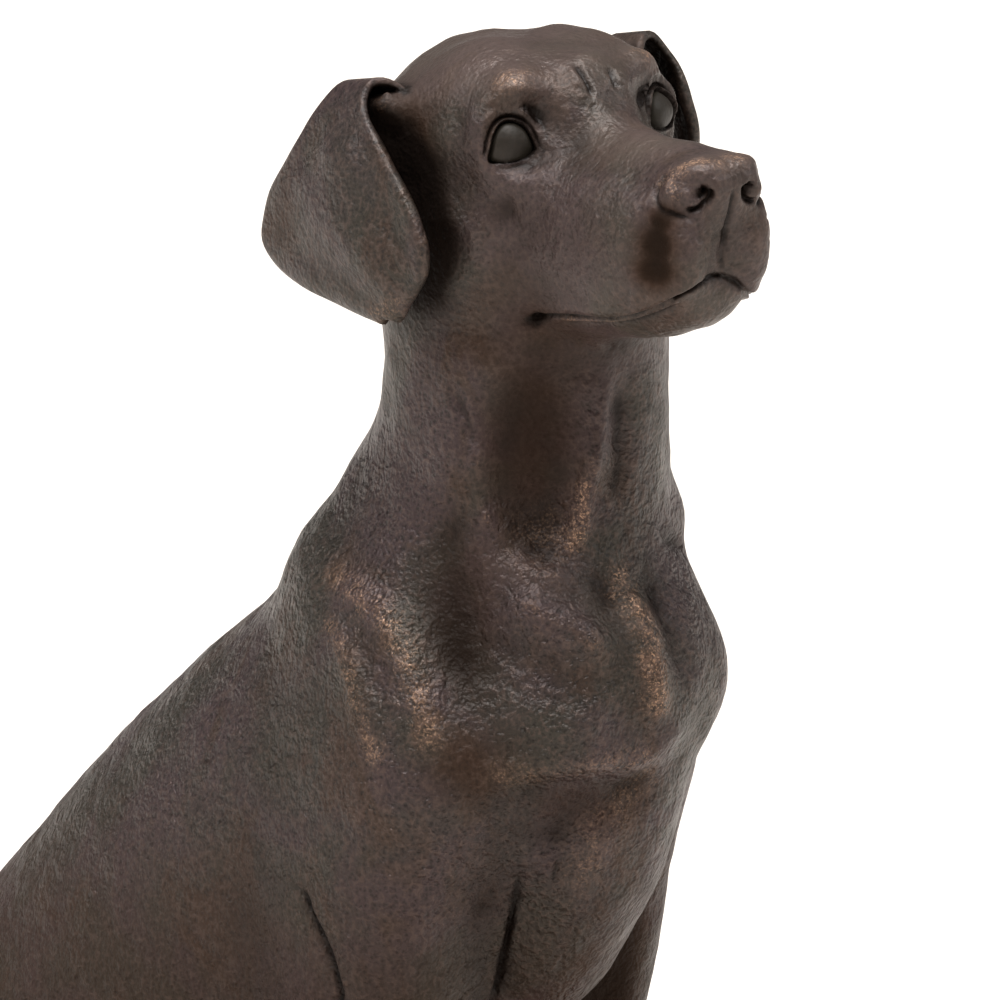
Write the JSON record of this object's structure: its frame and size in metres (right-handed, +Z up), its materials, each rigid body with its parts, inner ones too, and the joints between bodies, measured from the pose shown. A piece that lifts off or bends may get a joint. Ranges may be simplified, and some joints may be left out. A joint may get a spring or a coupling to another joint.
{
  "type": "bronze dog figurine",
  "caption": "Seated smooth-coated dog in dark bronze, head raised and turned to its right, ears hanging, on a low plain base with rounded corners.",
  "frame": {"origin": "middle of the underside of the base", "axes": "+Z up, -Y the way the dog faces, -X the dog's right side"},
  "size_m": [0.2442, 0.408, 0.4948],
  "materials": {
    "bronze": "dark satin patina, tooled",
    "base_bronze": "dark satin patina"
  },
  "bodies": {
    "root": {"dog": "bronze", "base": "base_bronze"}
  },
  "joints": []
}
